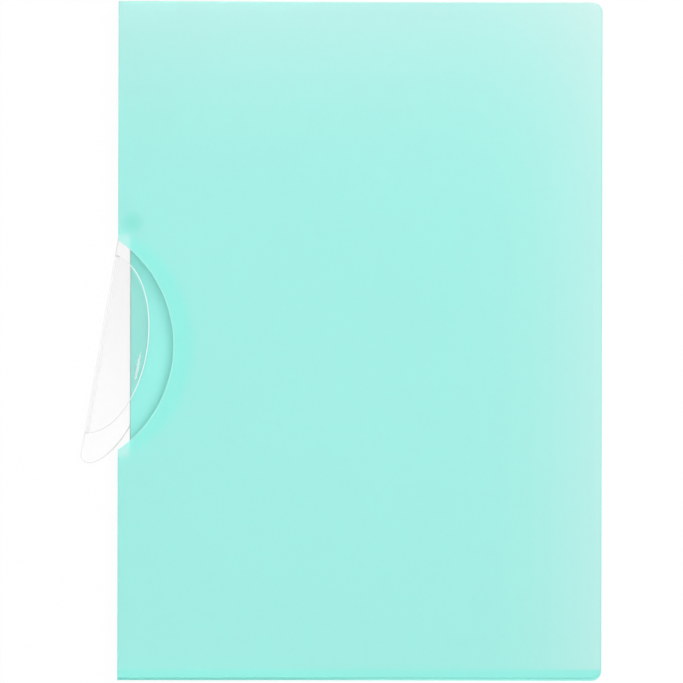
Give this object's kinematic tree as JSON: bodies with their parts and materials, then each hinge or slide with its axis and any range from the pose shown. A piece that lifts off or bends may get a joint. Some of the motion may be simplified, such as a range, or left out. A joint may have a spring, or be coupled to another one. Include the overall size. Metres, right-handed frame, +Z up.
{
  "type": "clip folder",
  "caption": "Translucent mint plastic folder for A4 sheets, with a thumb cut at the spine and a clear clip that swings out through a slot to grip the papers.",
  "frame": {"origin": "middle of the two covers in plan, on the table, on the flat underside of the back cover", "axes": "+X from the spine to the opening edge, +Y to the folder's top edge, along the spine, +Z up out of the front cover"},
  "size_m": [0.2381, 0.31, 0.0061],
  "materials": {
    "back_sheet": "frosted translucent polypropylene sheet",
    "front_sheet": "frosted translucent polypropylene sheet",
    "clip_plastic": "clear, glossy",
    "rivet_plastic": "light grey, smooth"
  },
  "bodies": {
    "back": {"back_cover": "back_sheet", "pivot_rivet": "rivet_plastic"},
    "front": {"front_cover": "front_sheet"},
    "clip": {"swing_clip": "clip_plastic"}
  },
  "joints": [
    {"name": "cover_hinge", "type": "hinge", "parent": "back", "child": "front", "pos_m": [-0.11027, 0, 0.00592], "axis": [0, -1, 0], "range_deg": [0, 180]},
    {"name": "clip_swing", "type": "hinge", "parent": "back", "child": "clip", "pos_m": [-0.1039, 0.054, 0.00125], "axis": [0, 0, 1], "range_deg": [-110, 9.7]}
  ]
}
